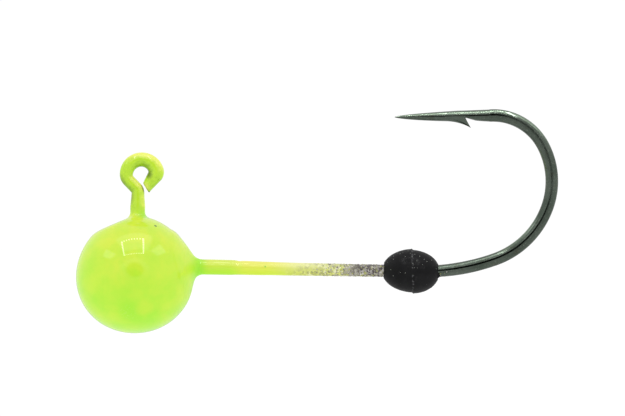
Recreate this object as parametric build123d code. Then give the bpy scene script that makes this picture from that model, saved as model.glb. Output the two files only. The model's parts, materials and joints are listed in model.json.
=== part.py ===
"""Ball jig head for fishing: a forged wire hook, a lead ball cast round it, a fused powder
coat and a rubber keeper bead that slides on the shank.

Millimetres. The hook lies in the XZ plane. The origin is the centre of the line eye, +X runs
along the shank from the head towards the bend, +Z points from the head up to the eye.
"""

from build123d import *
from math import cos, radians, sin, sqrt
import os

# Hook wire
WIRE_R = 0.45
LOOP_R = 1.065  # line eye, to the wire's centreline
LOOP_TURN = 200.0  # degrees from the eye's left side, over the top, to its closing kink
KINK_R = 0.60
KINK_TURN = 22.7
LIMB_LENGTH = 0.78  # straight end of the eye
LIMB_END_R = 0.35  # the cut end is pinched by the cropping tool
THROAT_OFFSET = 1.03  # from the eye's centre to the wire that leaves it at 45 degrees
THROAT_R = 0.62
NECK_X = -0.28
SHANK_Z = -6.844
HEAD_BEND_R = 2.0  # the 90 degree bend buried in the lead
CURVE_X = 20.82  # where the shank starts to curve into the hook bend
CURVE = ((15.61, 20.4), (6.41, 51.0), (5.68, 47.6), (4.16, 64.2))  # radius, degrees
SPEAR_STRAIGHT = 1.9
SPEAR_EASE_R = 18.0
SPEAR_EASE = 1.8  # degrees
POINT_LENGTH = 4.70
POINT_POWER = 0.58  # needle point: radius grows as this power of the distance from the tip
POINT_STEPS = 6  # points that the needle's outline is drawn through

# Barb, in the hook's plane, measured back from the tip and down from the point's axis
BARB_START = (3.55, 0.30)
BARB_BELLY = (4.60, 0.42)
BARB_SHOULDER = (5.08, 0.56)
BARB_TIP = (5.62, 0.77)
NOTCH_ROOT = (5.24, 0.10)
NOTCH_MID = (5.90, 0.28)
NOTCH_END = (7.00, 0.46)
BARB_ROOT_HALF = 0.40  # half of the barb's thickness where it leaves the wire
BARB_TIP_HALF = 0.10
BARB_MARGIN = 0.10  # the tapering wedge runs this far past the barb at both ends
CHIP_DEPTH = 1.5  # the notch's cutter is larger than the wire all round
CHIP_HALF = 1.0

# Lead ball
BALL_X = -0.426
BALL_Z = -7.49
LEAD_R = 4.22
GATE_ANGLE = 114.0  # degrees from +X: the trimmed casting gate faces up and forwards
GATE_DEPTH = 0.22
COLLAR_SLOPE = 1.17
COLLAR_X = 4.10  # where the cast collar has run down to nearly the wire
COLLAR_BASE_X = 2.75
COLLAR_LIP = 0.02
COLLAR_FILLET = 0.5

# Powder coat
COAT = 0.10  # on the lead
EYE_COAT = 0.08
EYE_BORE_R = 0.55
SLEEVE_R = 0.565  # thick film on the shank next to the head
SLEEVE_END_X = 7.39
SLEEVE_RAMP = 0.06  # length of the step down to the thinner film
FILM_R = 0.508  # thinner film beyond the step
FILM_END_R = 0.465
FILM_END_X = 13.2
NECK_FLARE_R = 1.2
NECK_FLARE_TOP = -2.80
NECK_FLARE_DROP = 0.80

# Keeper bead
PARTING_X = 20.19
BEAD_HEADWARD = 2.12  # parting line to the mouth of the bore that faces the head
BEAD_BENDWARD = 1.88
BEAD_R = 1.61
BEAD_MISMATCH = 0.06  # the two mould halves don't quite line up
BORE_R = 0.54
BORE_MOUTH_R = 0.57
BORE_FLARE = 0.90


def at(x, z):
    """A point in the hook's plane."""
    return Vector(x, 0, z)


def half_space(point, outward, reach=20.0):
    """A block that holds everything on the outward side of a plane."""
    face = Plane(origin=point, z_dir=outward) * Rectangle(2 * reach, 2 * reach)
    return extrude(face, amount=reach)


class WireRun:
    """Round wire laid in the hook's plane as stretches that are tangent to each other."""

    def __init__(self, x, z, heading):
        self.place = at(x, z)
        self.heading = heading
        self.solids = []

    def direction(self, turn=0.0):
        angle = radians(self.heading + turn)
        return Vector(cos(angle), 0, sin(angle))

    def section(self, radius):
        return Plane(origin=self.place, x_dir=(0, 1, 0), z_dir=self.direction()) * Circle(radius)

    def straight(self, length, radius, end_radius=None):
        start = self.section(radius)
        if end_radius is None:
            self.solids.append(extrude(start, amount=length, dir=self.direction()))
            self.place = self.place + self.direction() * length
            return
        self.place = self.place + self.direction() * length
        self.solids.append(loft([start, self.section(end_radius)]))

    def bend(self, bend_radius, turn, radius):
        """Positive turn is anticlockwise, seen with +X to the right and +Z up."""
        side = 90.0 if turn > 0 else -90.0
        centre = self.place + self.direction(side) * bend_radius
        axis = Axis(centre, (0, -1, 0) if turn > 0 else (0, 1, 0))
        self.solids.append(revolve(self.section(radius), axis, abs(turn)))
        self.heading = self.heading + turn
        self.place = centre - self.direction(side) * bend_radius

    def solid(self):
        whole = self.solids[0]
        for piece in self.solids[1:]:
            whole = whole + piece
        return whole


def eye_closing(film):
    """From the eye's left side over the top to the cut end, with a film of paint or none."""
    run = WireRun(-LOOP_R, 0, 90.0)
    run.bend(LOOP_R, -LOOP_TURN, WIRE_R + film)
    run.bend(KINK_R, -KINK_TURN, WIRE_R + film)
    run.straight(LIMB_LENGTH + film / 2, WIRE_R + film, LIMB_END_R + film / 2)
    return run.solid()


def eye_neck(film):
    """From the eye's left side down the throat and the neck, ending above the head's bend."""
    half = sqrt(0.5)
    throat_x = THROAT_OFFSET / half
    ease_r = (throat_x - LOOP_R) / (1 / half - 1)
    run = WireRun(-LOOP_R, 0, -90.0)
    run.bend(ease_r, 45.0, WIRE_R + film)
    run.straight((NECK_X - run.place.X - THROAT_R * (1 - half)) / half, WIRE_R + film)
    run.bend(THROAT_R, -45.0, WIRE_R + film)
    run.straight(run.place.Z - SHANK_Z - HEAD_BEND_R, WIRE_R + film)
    return run


def needle(run):
    """The tapered point that carries on from a run of wire. Returns the solid and its tip."""
    outline = []
    for step in range(1, POINT_STEPS + 1):
        share = (step / POINT_STEPS) ** 2
        outline.append((POINT_LENGTH * (1 - share), WIRE_R * share**POINT_POWER))
    with BuildSketch() as half_profile:
        with BuildLine():
            curve = Spline([(POINT_LENGTH, 0)] + outline)
            Polyline(curve @ 1, (0, 0), curve @ 0)
        make_face()
    seat = Plane(origin=run.place, x_dir=run.direction(), z_dir=(0, -1, 0))
    point = seat * revolve(half_profile.sketch, Axis.X, 360)
    tip = run.place + run.direction() * POINT_LENGTH
    return point, tip


def barb_place(tip, run, back_and_down):
    """A point given by how far it lies behind the tip and below the point's axis."""
    back, down = back_and_down
    return tip - run.direction() * back + run.direction(90.0) * down


def plate(edges, half_width):
    face = make_face(edges)
    return extrude(face, amount=half_width, dir=(0, 1, 0), both=True)


def barb(tip, run):
    """The chiselled-up barb, thinner towards its tip, and the notch behind it."""
    start = barb_place(tip, run, BARB_START)
    belly = barb_place(tip, run, BARB_BELLY)
    shoulder = barb_place(tip, run, BARB_SHOULDER)
    sharp = barb_place(tip, run, BARB_TIP)
    root = barb_place(tip, run, NOTCH_ROOT)
    middle = barb_place(tip, run, NOTCH_MID)
    end = barb_place(tip, run, NOTCH_END)
    front = barb_place(tip, run, (BARB_START[0], 0))
    under = Spline([start, belly, shoulder, sharp])
    blade = plate([under, Line(sharp, root), Line(root, front), Line(front, start)], WIRE_R)

    margin = at(0, BARB_MARGIN)
    wedge_length = 2 * BARB_TIP[0]
    root_plane = Plane(origin=root + margin, z_dir=(0, 0, -1))
    sharp_plane = Plane(origin=sharp - margin, z_dir=(0, 0, -1))
    wedge = loft(
        [
            root_plane * Rectangle(wedge_length, 2 * BARB_ROOT_HALF),
            sharp_plane * Rectangle(wedge_length, 2 * BARB_TIP_HALF),
        ]
    )
    below = at(0, -CHIP_DEPTH)
    chip = plate(
        [
            Line(sharp, root),
            Spline([root, middle, end]),
            Line(end, end + below),
            Line(end + below, sharp + below),
            Line(sharp + below, sharp),
        ],
        CHIP_HALF,
    )
    return blade & wedge, chip


def hook():
    """One length of wire: eye, neck, buried bend, shank, hook bend, needle point and barb."""
    run = eye_neck(0.0)
    run.bend(HEAD_BEND_R, 90.0, WIRE_R)
    run.straight(CURVE_X - run.place.X, WIRE_R)
    for bend_radius, turn in CURVE:
        run.bend(bend_radius, turn, WIRE_R)
    run.straight(SPEAR_STRAIGHT, WIRE_R)
    run.bend(SPEAR_EASE_R, -SPEAR_EASE, WIRE_R)
    point, tip = needle(run)
    blade, chip = barb(tip, run)
    return eye_closing(0.0) + run.solid() + point - chip + blade


def ball(radius):
    """The ball with its trimmed gate."""
    centre = at(BALL_X, BALL_Z)
    outward = at(cos(radians(GATE_ANGLE)), sin(radians(GATE_ANGLE)))
    gate = half_space(centre + outward * (radius - GATE_DEPTH), outward)
    return Pos(centre) * Sphere(radius) - gate


def shank_turning(points, rounded=None, radius=0.0):
    """A solid of revolution about the shank, from (X, radius) points."""
    outline = make_face(Polyline(*points, close=True))
    if rounded is not None:
        corner = outline.vertices().sort_by_distance(rounded)[0]
        outline = fillet(corner, radius)
    shank_plane = Plane(origin=at(0, SHANK_Z), x_dir=(1, 0, 0), z_dir=(0, -1, 0))
    return shank_plane * revolve(outline, Axis.X, 360)


def collar_radius(x, end_x, end_r):
    return end_r + (end_x - x) * COLLAR_SLOPE


def lead_body():
    """Lead ball and the collar where it ran along the shank, with no hole for the wire."""
    lip_r = WIRE_R + COLLAR_LIP
    base_r = collar_radius(COLLAR_BASE_X, COLLAR_X, lip_r)
    collar = shank_turning([(COLLAR_BASE_X, 0), (COLLAR_BASE_X, base_r), (COLLAR_X, lip_r), (COLLAR_X, 0)])
    return ball(LEAD_R) + collar


def neck_flare():
    """Where the coat wets up the neck."""
    neck_r = WIRE_R + EYE_COAT
    bottom = NECK_FLARE_TOP - NECK_FLARE_DROP
    foot_r = neck_r + NECK_FLARE_R - sqrt(NECK_FLARE_R**2 - NECK_FLARE_DROP**2)
    with BuildSketch(Plane.XZ) as profile:
        with BuildLine():
            Line((0, NECK_FLARE_TOP), (neck_r, NECK_FLARE_TOP))
            curve = RadiusArc((neck_r, NECK_FLARE_TOP), (foot_r, bottom), NECK_FLARE_R)
            Polyline(curve @ 1, (0, bottom), (0, NECK_FLARE_TOP))
        make_face()
    return Pos(NECK_X, 0, 0) * revolve(profile.sketch, Axis.Z, 360)


def shank_coat():
    """Collar, thick sleeve, step and thinning film along the shank."""
    lip_x = COLLAR_X + COAT
    base_r = collar_radius(COLLAR_BASE_X, lip_x, SLEEVE_R)
    return shank_turning(
        [
            (COLLAR_BASE_X, 0),
            (COLLAR_BASE_X, base_r),
            (lip_x, SLEEVE_R),
            (SLEEVE_END_X - SLEEVE_RAMP, SLEEVE_R),
            (SLEEVE_END_X, FILM_R),
            (FILM_END_X, FILM_END_R),
            (FILM_END_X, 0),
        ],
        rounded=(lip_x, SLEEVE_R),
        radius=COLLAR_FILLET,
    )


def paint_coat(bare_hook, bare_lead):
    """One fused film over the head, the eye and the first part of the shank."""
    skin = ball(LEAD_R + COAT) + shank_coat() + neck_flare()
    skin = skin + eye_neck(EYE_COAT).solid() + eye_closing(EYE_COAT)
    eye_bore = Rot(90, 0, 0) * Cylinder(EYE_BORE_R, 4 * WIRE_R)
    return skin - eye_bore - bare_lead - bare_hook


def bead_half(side, half_length):
    """One mould half of the bead, as a solid with no bore. Side is 1 towards the bend."""
    reach = half_length / sqrt(1 - (BORE_MOUTH_R / BEAD_R) ** 2)
    quarter = Ellipse(reach, BEAD_R) & Pos(side * reach / 2, BEAD_R / 2) * Rectangle(reach, BEAD_R)
    half = Plane.XZ * revolve(quarter, Axis.X, 360)
    return Pos(PARTING_X, 0, SHANK_Z - side * BEAD_MISMATCH / 2) * half


def keeper_bead():
    """Soft rubber bead with a straight bore that opens a little at both mouths."""
    body = bead_half(-1, BEAD_HEADWARD) + bead_half(1, BEAD_BENDWARD)
    head_mouth = PARTING_X - BEAD_HEADWARD
    bend_mouth = PARTING_X + BEAD_BENDWARD
    bore = shank_turning(
        [
            (head_mouth - BEAD_R, 0),
            (head_mouth - BEAD_R, BORE_MOUTH_R),
            (head_mouth, BORE_MOUTH_R),
            (head_mouth + BORE_FLARE, BORE_R),
            (bend_mouth - BORE_FLARE, BORE_R),
            (bend_mouth, BORE_MOUTH_R),
            (bend_mouth + BEAD_R, BORE_MOUTH_R),
            (bend_mouth + BEAD_R, 0),
        ]
    )
    return body - bore


def main():
    os.makedirs("parts", exist_ok=True)
    wire = hook()
    lead = lead_body() - wire
    export_step(wire, "parts/hook.step")
    export_step(lead, "parts/lead_head.step")
    export_step(paint_coat(wire, lead_body()), "parts/paint_coat.step")
    export_step(keeper_bead(), "parts/keeper_bead.step")


main()
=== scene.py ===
import json
import math

import bmesh
import bpy
import numpy as np
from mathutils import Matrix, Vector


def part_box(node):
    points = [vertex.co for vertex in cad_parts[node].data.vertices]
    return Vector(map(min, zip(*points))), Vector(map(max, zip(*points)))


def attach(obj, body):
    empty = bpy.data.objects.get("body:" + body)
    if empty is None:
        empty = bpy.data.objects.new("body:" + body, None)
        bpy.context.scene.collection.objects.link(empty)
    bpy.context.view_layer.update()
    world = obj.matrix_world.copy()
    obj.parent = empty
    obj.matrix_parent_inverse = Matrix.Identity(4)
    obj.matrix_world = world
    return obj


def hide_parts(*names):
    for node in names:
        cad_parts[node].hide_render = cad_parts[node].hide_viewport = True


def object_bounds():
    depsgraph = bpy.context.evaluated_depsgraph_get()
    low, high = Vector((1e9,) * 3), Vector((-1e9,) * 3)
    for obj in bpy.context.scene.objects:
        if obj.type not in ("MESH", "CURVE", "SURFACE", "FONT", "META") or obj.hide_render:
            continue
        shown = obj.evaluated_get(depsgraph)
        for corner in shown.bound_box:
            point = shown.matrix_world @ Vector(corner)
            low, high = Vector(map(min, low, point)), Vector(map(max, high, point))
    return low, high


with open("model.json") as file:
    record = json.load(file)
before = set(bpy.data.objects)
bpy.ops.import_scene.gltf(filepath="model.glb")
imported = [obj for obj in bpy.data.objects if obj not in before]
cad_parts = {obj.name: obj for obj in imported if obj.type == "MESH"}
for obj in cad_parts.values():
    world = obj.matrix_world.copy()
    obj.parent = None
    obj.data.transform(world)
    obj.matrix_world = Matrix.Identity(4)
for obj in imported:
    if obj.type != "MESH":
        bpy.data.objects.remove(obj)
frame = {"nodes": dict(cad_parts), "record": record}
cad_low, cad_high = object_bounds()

# Shapes are worked out in millimetres, in the part's own frame, and written in metres.
MM = 0.001
WELD = 1e-7  # metres: points closer than this are one point
SEED = 11


# ------ what the frame says


def node_box(name):
    low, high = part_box(name)
    return np.array(low) / MM, np.array(high) / MM


def half_width(name):
    low, high = node_box(name)
    return (high[1] - low[1]) / 2


def mount_place(name):
    found = [m for m in frame["record"]["mounts"] if m["name"] == name][0]
    return np.array(found["pos_m"]) / MM


lead_low, _ = node_box("lead_head")
(BEAD_START, _, _), (BEAD_END, _, _) = node_box("keeper_bead")
WIRE_R = half_width("hook")
SHANK_Z = mount_place("bait_shank")[2]
BALL_X = lead_low[0] + half_width("lead_head")
BALL_Z = lead_low[2] + half_width("lead_head")
BALL_R = half_width("paint_coat")
BEAD_R = half_width("keeper_bead")

# ------ driving dimensions, mm

# The eye as it was really bent: not quite round, and pinched at its cut end
LOOP_X, LOOP_Z, LOOP_R = -0.022, -0.040, 1.125
THROAT_LINE = -1.452  # the throat runs at 45 degrees, along x + z = this
THROAT_R = 0.50
NECK_X = -0.265
CLOSE_TURN = 162.0
KINK_R, KINK_TURN = 0.42, 52.2
LIMB_LENGTH = 1.18
LIMB_SPARE = 0.20  # the painted limb is laid this much too long, then cut slantwise
WIRE_SHORT = 0.24  # the wire inside ends this much before the cut
CUT_HEADING = -147.5

HOOK_AROUND = 56
HEAD_BEND_R = 2.0
CURVE_X = 20.82
CURVE = ((15.61, 20.4), (6.41, 51.0), (5.68, 47.6), (4.16, 64.2))
SPEAR_STRAIGHT = 1.9
SPEAR_EASE_R, SPEAR_EASE = 18.0, 1.8
POINT_LENGTH = 4.70
POINT_POWER = 0.58
FORGED_HEIGHT, FORGED_WIDTH = 0.472, 0.425  # the hook bend is pressed a little flat

# Barb and notch: distance back from the tip, depth below the point's axis
NOTCH_END = (7.00, 0.45)
NOTCH_MID = (6.00, 0.31)
NOTCH_ROOT = (5.25, 0.10)
BARB_TIP = (5.63, 0.87)
BARB_SHOULDER = (5.08, 0.58)
BARB_BELLY = (4.55, 0.42)
BARB_START = (3.55, 0.33)
CUT_TOP = 4.95

# Powder coat
GATE_ANGLE, GATE_DISTANCE = 114.0, 4.10
COLLAR_X, COLLAR_R, COLLAR_SLOPE = 4.20, 0.60, 1.17
HEAVY_COAT = 0.038  # the ball's coat is this much thicker than in the CAD part
SLEEVE_END_X = 7.34
FILM_END_X = 17.6
COAT_VOXEL = 0.062
FINE_FROM_X = 10.6  # beyond this the film breaks up, and its mesh is twice as fine
# Film thickness, and how much thicker it is on top, at places along the shank
FILM = (
    (0, 0.125), (6.6, 0.116), (SLEEVE_END_X + 0.15, 0.076), (10.5, 0.042), (12.2, 0.030),
    (13.6, 0.017), (14.7, 0.002), (15.7, -0.014), (FILM_END_X, -0.06),
)
FILM_LEAN = ((0, 0.045), (6.9, 0.045), (SLEEVE_END_X + 0.2, 0.030), (9.5, 0.016), (11.5, 0.004), (20, 0.0))

# Grains of overspray
GRAIN_COUNT = 1500
GRAINS_FROM_X, GRAINS_REACH = 12.4, 11.2
GRAIN_LEAST, GRAIN_EXTRA = 0.018, 0.045
GRAIN_CHANCE = ((12.4, 13.4, 17.2, 18.6, 22.2, 23.6), (0.3, 1.0, 0.9, 0.45, 0.40, 0.10))  # by x
BARE_FROM_X = 22.0  # beyond this, grains cling to the shank's underside only

# Keeper bead
BEAD_AROUND = 168
PARTING_X = BEAD_START + 0.53 * (BEAD_END - BEAD_START)
PARTING_TILT = -0.04
BEAD_MISMATCH = 0.06
BORE_R, MOUTH_R, BORE_FLARE = 0.580, 0.565, 0.90
BEAD_LIP = 0.036
TAG_TURN = 4.15  # a small flash tag on the mouth, in radians round from the top

# ------ driving values, light and camera

WHITE = (1.0, 1.0, 1.0, 1.0)
PAINT_IOR = 1.42
# Lamps and panels over the object, on a ceiling one unit above it; the lamps show only as painted reflections
LAMP_CORNERS = ((-0.415, -0.33), (0.25, -0.22), (0.453, -0.99), (-0.52, -1.18))
LAMP_SIZE, LAMP_PITCH = 0.058, 0.083
LAMP_LIT = (0.32, 0.72)  # lit share of each pitch, in crosswise rows and in lengthwise rows
LAMP_LEVEL = 15.0
PANEL_EDGE = 0.12
# Soft panels: middle, half sizes, turn in degrees, brightness
PANELS = (
    ((-1.36, -0.68), (0.26, 0.30), 20, 1.7),
    ((1.02, -0.42), (0.20, 0.26), -12, 1.7),
    ((0.0, -0.40), (0.48, 0.34), 8, 1.2),
)
# The tent's opening, a dark oval a little above the camera: half sizes and middle, as slopes
OPENING_HALF = (0.33, 0.26)
OPENING_MIDDLE = (0.05, 0.21)
BACKDROP_LEVEL = 1.03
CAMERA_DISTANCE = 0.400  # metres
CAMERA_ROLL = 1.0  # degrees: the shank runs this much downhill
PICTURE_WIDTH = 1.302 * (cad_high[0] - cad_low[0])
CAMERA_SHIFT = (-0.0078, 0.0214)  # to the right and up, as shares of the picture's width


# ------ smooth value noise


def lattice(ix, iy, iz, seed):
    """A fixed random number from 0 to 1 for each lattice corner."""
    mixed = ix * 374761393 + iy * 668265263 + iz * 2147483647 + seed * 1274126177
    mixed = (mixed ^ (mixed >> 13)) * 1274126177
    mixed = mixed ^ (mixed >> 16)
    return (mixed & 0xFFFFFF) / float(0xFFFFFF)


def value_noise(points, size, seed):
    """Smooth noise from -1 to 1 whose lumps are about size across."""
    scaled = points / size + 500.0
    cell = np.floor(scaled).astype(np.int64)
    part = scaled - cell
    part = part * part * (3 - 2 * part)
    total = np.zeros(len(points))
    for corner in range(8):
        step = np.array([corner & 1, (corner >> 1) & 1, (corner >> 2) & 1])
        weight = np.prod(np.where(step, part, 1 - part), axis=1)
        place = cell + step
        total += weight * lattice(place[:, 0], place[:, 1], place[:, 2], seed)
    return total * 2 - 1


# ------ laying wire


def arc(radius, turn):
    """A bent stretch: its length, and its turn in degrees, anticlockwise with +X right and +Z up."""
    return radius * math.radians(abs(turn)), math.radians(turn)


def straight(length):
    return length, 0.0


class Run:
    """Wire laid in the hook's plane as stretches that are tangent to each other."""

    def __init__(self, x, z, heading, stretches):
        place, heading = np.array([x, z], float), math.radians(heading)
        self.stretches = []
        self.length = 0.0
        for length, turn in stretches:
            self.stretches.append((place, heading, length, turn, self.length))
            (place,), (heading,) = self.follow(place, heading, length, turn, np.array([length]))
            self.length += length

    @staticmethod
    def follow(start, heading, length, turn, gone):
        """Places and headings at distances gone along one stretch."""
        heads = heading + turn * gone / length
        if turn == 0:
            return start + np.outer(gone, [math.cos(heading), math.sin(heading)]), heads
        radius = length / turn
        x = start[0] + radius * (np.sin(heads) - math.sin(heading))
        z = start[1] - radius * (np.cos(heads) - math.cos(heading))
        return np.stack([x, z], 1), heads

    def at(self, gone):
        """Places and headings at distances along the whole run."""
        gone = np.clip(np.asarray(gone, float), 0, self.length)
        places, heads = np.zeros((len(gone), 2)), np.zeros(len(gone))
        for *stretch, before in self.stretches:
            here = gone >= before
            places[here], heads[here] = self.follow(*stretch, gone[here] - before)
        return places, heads

    def near(self, flat, radii):
        """In-plane distance to the run, and its radius there, by the nearest surface."""
        best, foot_radius = np.full(len(flat), 1e9), np.zeros(len(flat))
        for start, heading, length, turn, before in self.stretches:
            if turn == 0:
                gone = (flat - start) @ np.array([math.cos(heading), math.sin(heading)])
            else:
                radius = length / turn
                centre = start + radius * np.array([-math.sin(heading), math.cos(heading)])
                spoke = flat - centre
                first = math.atan2(*(start - centre)[::-1])
                swept = np.arctan2(spoke[:, 1], spoke[:, 0]) - first - turn / 2
                swept = (swept + math.pi) % (2 * math.pi) - math.pi + turn / 2
                gone = swept * radius
            gone = np.clip(gone, 0, length)
            feet, _ = self.follow(start, heading, length, turn, gone)
            away = np.linalg.norm(flat - feet, axis=1)
            radius_here = radii(before + gone)
            nearer = away - radius_here < best - foot_radius
            best[nearer], foot_radius[nearer] = away[nearer], radius_here[nearer]
        return best, foot_radius


def eye_closing_stretches(limb):
    """From the eye's left side over the top to its cut end."""
    return [arc(LOOP_R, -CLOSE_TURN), arc(KINK_R, -KINK_TURN), straight(limb)]


def eye_neck_stretches():
    """From the eye's left side down the throat and the neck to the bend in the head."""
    half = math.sqrt(0.5)
    left = LOOP_X - LOOP_R
    ease_r = (left + LOOP_Z - THROAT_LINE) / (1 / half - 1)
    start_x = left + ease_r * (1 - half)
    start_z = LOOP_Z - ease_r * half
    slope = (NECK_X - start_x - THROAT_R * (1 - half)) / half
    neck_top = start_z - slope * half - THROAT_R * half
    down = neck_top - SHANK_Z - HEAD_BEND_R
    return [arc(ease_r, 45.0), straight(slope), arc(THROAT_R, -45.0), straight(down)]


EYE_CLOSING = Run(LOOP_X - LOOP_R, LOOP_Z, 90.0, eye_closing_stretches(LIMB_LENGTH + LIMB_SPARE))
EYE_NECK = Run(LOOP_X - LOOP_R, LOOP_Z, -90.0, eye_neck_stretches())
LIMB_END_GONE = EYE_CLOSING.length - LIMB_SPARE
(LIMB_END,), _ = EYE_CLOSING.at([LIMB_END_GONE])


def whole_hook():
    """The wire from the eye's cut end to the tip, and where its bend starts and ends."""
    (wire_end,), _ = EYE_CLOSING.at([LIMB_END_GONE - WIRE_SHORT])
    closing = eye_closing_stretches(LIMB_LENGTH - WIRE_SHORT)
    backwards = [(length, -turn) for length, turn in closing[::-1]]
    stretches = backwards + eye_neck_stretches() + [arc(HEAD_BEND_R, 90.0)]
    stretches.append(straight(CURVE_X - NECK_X - HEAD_BEND_R))
    bend_start = sum(length for length, _ in stretches)
    stretches += [arc(radius, turn) for radius, turn in CURVE]
    bend_end = sum(length for length, _ in stretches)
    stretches += [straight(SPEAR_STRAIGHT), arc(SPEAR_EASE_R, -SPEAR_EASE), straight(POINT_LENGTH)]
    heading = 90.0 - CLOSE_TURN - KINK_TURN + 180.0
    return Run(*wire_end, heading, stretches), bend_start, bend_end


# ------ mesh helpers


def link_piece(name, data):
    piece = bpy.data.objects.new(name, data)
    bpy.context.scene.collection.objects.link(piece)
    return piece


def finished(name, made):
    """A bmesh as a mesh."""
    mesh = bpy.data.meshes.new(name)
    made.to_mesh(mesh)
    made.free()
    return mesh


def new_piece(name, points, faces):
    mesh = bpy.data.meshes.new(name)
    mesh.from_pydata((np.asarray(points) * MM).tolist(), [], faces)
    mesh.validate()
    mesh.polygons.foreach_set("use_smooth", [True] * len(mesh.polygons))
    return link_piece(name, mesh)


def in_space(flat, y):
    return np.stack([flat[:, 0], y, flat[:, 1]], 1)


def points_and_faces(made):
    """A bmesh as an array of points and a list of faces."""
    made.verts.index_update()
    points = np.array([v.co for v in made.verts])
    faces = [[v.index for v in f.verts] for f in made.faces]
    made.free()
    return points, faces


def full_turn(count):
    return np.linspace(0, 2 * math.pi, count, endpoint=False)


def ring_faces(rings, around, closed=False):
    faces = []
    for i in range(rings if closed else rings - 1):
        a, b = i * around, ((i + 1) % rings) * around
        for j in range(around):
            k = (j + 1) % around
            faces.append((a + j, a + k, b + k, b + j))
    return faces


def fan(ring_start, around, centre, forward):
    """The faces that close one end of a tube."""
    pairs = [(ring_start + j, ring_start + (j + 1) % around) for j in range(around)]
    return [(a, b, centre) if forward else (b, a, centre) for a, b in pairs]


def closed_tube(rings, end_point, forward):
    """A tube through rings, closed at its first ring's middle and at an end point."""
    around, last = len(rings[0]), (len(rings) - 1) * len(rings[0])
    points = np.vstack(rings + [rings[0].mean(0)[None], np.array(end_point)[None]])
    faces = ring_faces(len(rings), around)
    faces += fan(0, around, last + around, forward)
    faces += fan(last, around, last + around + 1, not forward)
    return points, faces


def store(piece, name, values):
    layer = piece.data.attributes.new(name, "FLOAT", "POINT")
    layer.data.foreach_set("value", np.asarray(values, np.float32))


def hump(off, reach):
    return np.exp(-((off / reach) ** 2))


def eased(table, value):
    """A smooth curve through a few (place, value) pairs."""
    places, values = np.array(table, float).T
    at = np.clip(value, places[0], places[-1])
    i = np.clip(np.searchsorted(places, at, side="right") - 1, 0, len(places) - 2)
    share = (at - places[i]) / (places[i + 1] - places[i])
    share = share * share * (3 - 2 * share)
    return values[i] * (1 - share) + values[i + 1] * share


# ------ hook


def point_radius(back):
    """Radius of the wire at a distance back from the tip."""
    share = np.clip(back / POINT_LENGTH, 0, 1)
    return float(WIRE_R * np.maximum(share, 1e-6) ** POINT_POWER)


def spear_stations():
    """Rings of the point: back at its top, back at its bottom, depth, blade share."""
    stations = []
    (end, end_depth), (middle, middle_depth), (root, root_depth) = NOTCH_END, NOTCH_MID, NOTCH_ROOT
    for share in np.linspace(0, 1, 26):
        top = end + (CUT_TOP - end) * share
        bottom = end + (root - end) * share
        at_middle = (end - middle) / (end - root)
        depth = np.interp(share, [0, at_middle, 1], [end_depth, middle_depth, root_depth])
        bow = 0.03 * math.sin(math.pi * share)
        stations.append((top, bottom, depth + bow, 0.0))

    backs, depths = np.array([BARB_START, BARB_BELLY, BARB_SHOULDER, BARB_TIP]).T
    underside = np.polyfit(backs, depths, 3)
    barb_top = CUT_TOP - 0.02
    start, start_depth = BARB_START
    for share in np.linspace(0, 1, 30):
        top = barb_top + (start - barb_top) * share
        bottom = BARB_TIP[0] + (start - BARB_TIP[0]) * share
        stations.append((top, bottom, float(np.polyval(underside, bottom)), (1 - share) ** 0.8))

    for share in np.linspace(0, 1, 42)[1:]:
        back = start * (1 - share) ** 1.6 + 0.002
        spare = (start_depth - point_radius(start)) * (1 - share) ** 3
        stations.append((back, back, point_radius(back) + spare, 0.0))
    return stations


def spear_ring(at_back, station, angles):
    """One ring: round above, and below it squashed by the notch or drawn out to a blade."""
    top, bottom, depth, blade = station
    radius = point_radius(top) if top < POINT_LENGTH else WIRE_R
    c, s = np.cos(angles), np.sin(angles)
    from_top = np.abs((angles + math.pi) % (2 * math.pi) - math.pi)
    low = np.clip((from_top - math.pi / 2) / (math.pi / 2), 0, 1)
    is_low = c < 0
    width = radius * s
    height = np.where(is_low, depth * c, radius * c)
    blade_width = radius * np.sign(s) * (1 - low) ** 0.9 * (1 - 0.12 * low)
    blade_height = -depth * low**1.1
    width = np.where(is_low, (1 - blade) * width + blade * blade_width, width)
    height = np.where(is_low, (1 - blade) * height + blade * blade_height, height)
    slant = (radius - height) / (radius + depth)
    places, heads = at_back(top + (bottom - top) * slant)
    up = np.stack([np.sin(heads), -np.cos(heads)], 1)
    flat = places + up * height[:, None]
    return in_space(flat, width)


def wire_ring(run, gone, pressed, angles):
    """One ring of the wire, pressed flat by a share and pinched near its cut end."""
    height = WIRE_R + (FORGED_HEIGHT - WIRE_R) * pressed
    width = WIRE_R + (FORGED_WIDTH - WIRE_R) * pressed
    pinch = 1 - 0.22 * max(0.0, 1 - gone / 1.1)
    (place,), (head,) = run.at([gone])
    sides = np.sign(np.sin(angles)) * np.abs(np.sin(angles)) ** (1 - 0.16 * pressed)
    inward = np.array([-math.sin(head), math.cos(head)])
    flat = place - np.outer(np.cos(angles) * height * pinch, inward)
    return in_space(flat, sides * width * pinch)


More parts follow.
